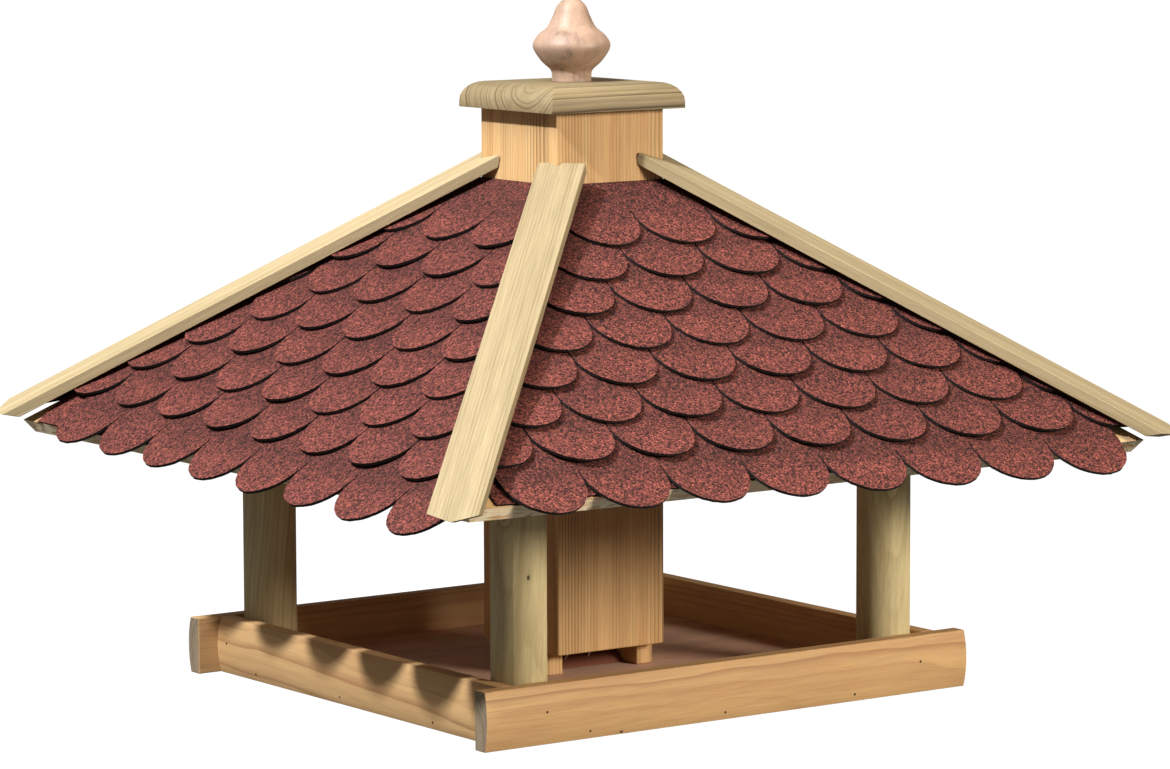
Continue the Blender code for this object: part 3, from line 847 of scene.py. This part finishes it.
class FEEDER_OT_shingles(bpy.types.Operator):
    """Eight courses of round-tabbed felt on each side, over a straight starter strip"""
    bl_idname = "feeder.shingles"
    bl_label = "Shingles"

    def execute(self, context):
        sizes = context.scene.feeder_sizes
        colours = context.scene.feeder_colours
        grit = roofing_granules("mineral_granules_felt", tuple(colours.granule))
        edge = cut_bitumen("cut_bitumen_edge", tuple(colours.bitumen))
        for side, name in enumerate(SIDES):
            shifts = SHIFTS_A if side % 2 == 0 else SHIFTS_B
            spin = turned(side)
            for course in range(COURSES):
                chance = random.Random(31 * side + course)
                bm = self.course(course, shifts[course], sizes, chance)
                self.finish(bm, spin, [grit, edge], f"felt_course_{name}_{course + 1}",
                            [f"shingles_{name}_{course + 1}"])
            bm = self.starter(sizes, random.Random(900 + side))
            self.finish(bm, spin, [grit, edge], f"felt_starter_{name}", [])
        return {"FINISHED"}

    def course(self, course, shift, sizes, chance):
        """One strip of tabs on the front side, cut along the hips and clear of the silo."""
        limit = 2 * EAVE_HALF if course else EAVE_CORNER - EAVE_TAB_MARGIN
        first = math.ceil((-limit - shift) / TAB_PITCH)
        last = math.floor((limit - shift) / TAB_PITCH)
        middles = [shift + tab * TAB_PITCH for tab in range(first, last + 1)]
        butt = -EAVE_OVERHANG + EAVE_BUTT_BACK
        if course:
            butt += FIRST_EXPOSURE + (course - 1) * EXPOSURE
            half = EAVE_HALF - butt * math.cos(ROOF_PITCH) + SPARE_TAB
            middles = [middle for middle in middles if abs(middle) < half]
        rest, curl = (sizes.lift, sizes.curl) if course else (0.0, 0.0)
        bm = felt_strip(middles, sizes.felt, rest, curl, chance)
        for vert in bm.verts:
            vert.co.z += TOUCH + (STRIP_DEPTH - vert.co.y) * SHINGLE_TILT
        slant = Matrix.Rotation(-COURSE_SLANT, 4, "Z")
        place = slope_matrix() @ Matrix.Translation((0.0, butt, 0.0)) @ slant
        bmesh.ops.transform(bm, matrix=place, verts=bm.verts)
        mitre(bm)
        cut(bm, (0.0, -ROOF_CLEAR, 0.0), (0.0, 1.0, 0.0))
        drop_offcuts(bm)
        return bm

    def starter(self, sizes, chance):
        """Straight felt strip on the panel, its edge cut a little unevenly by hand."""
        half = EAVE_CORNER - STARTER_SHORT
        bm = box((-half, 0.0, STARTER_LOW), (half, sizes.starter, STARTER_TOP))
        for step in range(1, STARTER_PARTS):
            everything = bm.verts[:] + bm.edges[:] + bm.faces[:]
            x = -half + step * half / (STARTER_PARTS // 2)
            bmesh.ops.bisect_plane(bm, geom=everything, plane_co=(x, 0.0, 0.0),
                                   plane_no=X_AXIS, dist=1e-7)
        wander = {}
        for vert in bm.verts:
            if vert.co.y < 1e-6:
                key = round(vert.co.x, 4)
                if key not in wander:
                    wander[key] = chance.uniform(-STARTER_OUT, STARTER_IN)
                vert.co.y += wander[key]
        bmesh.ops.transform(bm, matrix=slope_matrix(), verts=bm.verts)
        mitre(bm, gap=STARTER_GAP)
        return bm

    def finish(self, bm, spin, finishes, name, nodes):
        """Granules on what faces out of the roof and bitumen on the rest."""
        bmesh.ops.recalc_face_normals(bm, faces=bm.faces)
        bm.normal_update()
        for face in bm.faces:
            face.material_index = 0 if face.normal.dot(SLOPE_OUT) > FELT_TOP else 1
        bmesh.ops.transform(bm, matrix=spin, verts=bm.verts)
        finish_piece(name, bm, finishes, "house", nodes)


class FEEDER_OT_battens(bpy.types.Operator):
    """Flat battens over the four hips"""
    bl_idname = "feeder.battens"
    bl_label = "Hip battens"

    def execute(self, context):
        sizes = context.scene.feeder_sizes
        colours = context.scene.feeder_colours
        early = tuple(colours.batten)
        for corner, name in enumerate(CORNERS):
            away = Vector((-1.0, -1.0, 0.0)).normalized()
            down = away * math.cos(HIP_FALL) - Z_AXIS * math.sin(HIP_FALL)
            out = away * math.sin(HIP_FALL) + Z_AXIS * math.cos(HIP_FALL)
            down = (down + 0.006 * (corner - 1.5) * out.cross(down)).normalized()
            heart = Vector((-0.22, -0.22, 0.345 + 0.004 * corner))
            heart += out.cross(down) * (0.090 - 0.010 * corner)
            grain = turned(corner) @ grain_frame(down, out, heart)
            # painted light: this corner's factor darkens the batten's wood colours, standing in for
            # less light on it
            pale = BATTEN_PAINTED_LIGHT[corner]
            finish = planed_softwood("spruce_batten_painted_light_" + name, shade(early, pale),
                                     shade(linear("8a7348"), pale), spacing=3.1, late_share=0.60,
                                     warp=0.7, tint=shade(linear("ab9566"), pale), tint_share=0.35,
                                     streak=0.22, relief=0.3, group=0.3)
            bm = cad_copy("hip_batten_" + name)
            ease_edges(bm, sizes.batten_easing, segments=2)
            finish_piece("planed_batten_" + name, bm, [finish], "house",
                         ["hip_batten_" + name], grain, smooth=15.0)
        return {"FINISHED"}


class FEEDER_OT_nails(bpy.types.Operator):
    """Nail heads in the rails"""
    bl_idname = "feeder.nails"
    bl_label = "Nails"

    def execute(self, context):
        sizes = context.scene.feeder_sizes
        steel = rusty_steel("blued_nail_steel", "2b1c12")
        low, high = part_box("tray_rail_front")
        for side, name in enumerate(SIDES):
            bm = bmesh.new()
            for x, z in NAILS_BETWEEN if side % 2 else NAILS_THROUGH:
                lift = (z - RAIL_MIDDLE) / RAIL_MIDDLE
                y = low.y + RAIL_CROWN * lift * lift + NAIL_PROUD
                place = Matrix.Translation((x, y, z)) @ Matrix.Rotation(math.pi / 2, 4, "X")
                bmesh.ops.create_cone(bm, cap_ends=True, segments=16, radius1=sizes.nail,
                                      radius2=sizes.nail, depth=NAIL_DEPTH, matrix=place)
            ease_edges(bm, NAIL_EASING, segments=1)
            bmesh.ops.transform(bm, matrix=turned(side), verts=bm.verts)
            finish_piece("rail_nails_" + name, bm, [steel], "house", smooth=30.0)
        return {"FINISHED"}


class FEEDER_OT_stage(bpy.types.Operator):
    """Pale floor, soft studio lights and the camera"""
    bl_idname = "feeder.stage"
    bl_label = "Stage"

    def execute(self, context):
        scene = context.scene
        colours = scene.feeder_colours
        bm = bmesh.new()
        bmesh.ops.create_grid(bm, x_segments=2, y_segments=2, size=FLOOR_HALF)
        mesh = bpy.data.meshes.new("studio_floor")
        bm.to_mesh(mesh)
        bm.free()
        floor = bpy.data.objects.new("studio_floor", mesh)
        floor.location = (0.0, 0.0, -FLOOR_DROP)
        scene.collection.objects.link(floor)
        paint, tree = blank_material("matt_studio_paint")
        pale = (*tuple(colours.stage), 1.0)
        matt = add(tree, "ShaderNodeBsdfDiffuse", {"Color": pale})
        glow = add(tree, "ShaderNodeEmission", {"Color": pale, "Strength": FLOOR_GLOW})
        both = add(tree, "ShaderNodeMixShader", {"Fac": FLOOR_GLOW_SHARE, 1: matt.outputs[0],
                                                 2: glow.outputs[0]})
        # clear from below, so that the feeder's underside can be seen
        clear = add(tree, "ShaderNodeBsdfTransparent")
        back = add(tree, "ShaderNodeNewGeometry").outputs["Backfacing"]
        close_material(tree, add(tree, "ShaderNodeMixShader", {"Fac": back, 1: both.outputs[0],
                                                               2: clear.outputs[0]}))
        mesh.materials.append(paint)
        floor.visible_diffuse = False
        floor.visible_glossy = False

        world = bpy.data.worlds.new("studio")
        world.use_nodes = True
        tree = world.node_tree
        background = tree.nodes["Background"]
        background.inputs["Color"].default_value = WORLD_COLOUR
        background.inputs["Strength"].default_value = WORLD_STRENGTH
        scene.world = world

        for lamp in LAMPS:
            self.lamp(scene, *lamp)
        self.camera(scene)
        scene.view_settings.view_transform = "Standard"
        scene.view_settings.look = "None"
        return {"FINISHED"}

    def lamp(self, scene, name, place, width, height, power, colour):
        data = bpy.data.lights.new(name, "AREA")
        data.shape = "ELLIPSE"
        data.size = width
        data.size_y = height
        data.energy = power
        data.color = colour
        lamp = bpy.data.objects.new(name, data)
        lamp.location = place
        aim = LAMP_TARGET - Vector(place)
        lamp.rotation_euler = aim.to_track_quat("-Z", "Y").to_euler()
        scene.collection.objects.link(lamp)

    def camera(self, scene):
        data = bpy.data.cameras.new("camera")
        data.lens = CAMERA_LENS
        data.sensor_width = 36.0
        data.shift_x = CAMERA_SHIFT
        data.clip_end = 200.0
        aim = CAMERA_TARGET - CAMERA_PLACE
        roll = Matrix.Rotation(CAMERA_ROLL, 3, aim)
        turn = aim.to_track_quat("-Z", "Y").to_matrix()
        camera = bpy.data.objects.new("camera", data)
        camera.location = CAMERA_PLACE
        camera.rotation_euler = (roll @ turn).to_euler()
        scene.collection.objects.link(camera)
        scene.camera = camera


class FEEDER_PT_panel(bpy.types.Panel):
    bl_label = "Bird Feeder"
    bl_idname = "FEEDER_PT_panel"
    bl_space_type = "VIEW_3D"
    bl_region_type = "UI"
    bl_category = "Bird Feeder"

    def draw(self, context):
        layout = self.layout
        for group in (context.scene.feeder_sizes, context.scene.feeder_colours):
            column = layout.column()
            for key in group.__annotations__:
                column.prop(group, key)
        for step in STEPS:
            layout.operator(step.bl_idname)


STEPS = (FEEDER_OT_tray, FEEDER_OT_posts, FEEDER_OT_silo, FEEDER_OT_lid, FEEDER_OT_knob,
         FEEDER_OT_panels, FEEDER_OT_shingles, FEEDER_OT_battens, FEEDER_OT_nails, FEEDER_OT_stage)
CLASSES = (FeederSizes, FeederColours) + STEPS + (FEEDER_PT_panel,)


def register():
    for item in CLASSES:
        bpy.utils.register_class(item)
    bpy.types.Scene.feeder_sizes = bpy.props.PointerProperty(type=FeederSizes)
    bpy.types.Scene.feeder_colours = bpy.props.PointerProperty(type=FeederColours)


def unregister():
    del bpy.types.Scene.feeder_colours
    del bpy.types.Scene.feeder_sizes
    for item in reversed(CLASSES):
        bpy.utils.unregister_class(item)


def main():
    register()
    keep = set(NODES.values())
    for item in list(bpy.data.objects):
        if item.type in {"CAMERA", "LIGHT"} or (item.type == "MESH" and item not in keep):
            bpy.data.objects.remove(item, do_unlink=True)
    bpy.ops.feeder.tray()
    bpy.ops.feeder.posts()
    bpy.ops.feeder.silo()
    bpy.ops.feeder.lid()
    bpy.ops.feeder.knob()
    bpy.ops.feeder.panels()
    bpy.ops.feeder.shingles()
    bpy.ops.feeder.battens()
    bpy.ops.feeder.nails()
    bpy.ops.feeder.stage()


if __name__ == "__main__":
    main()
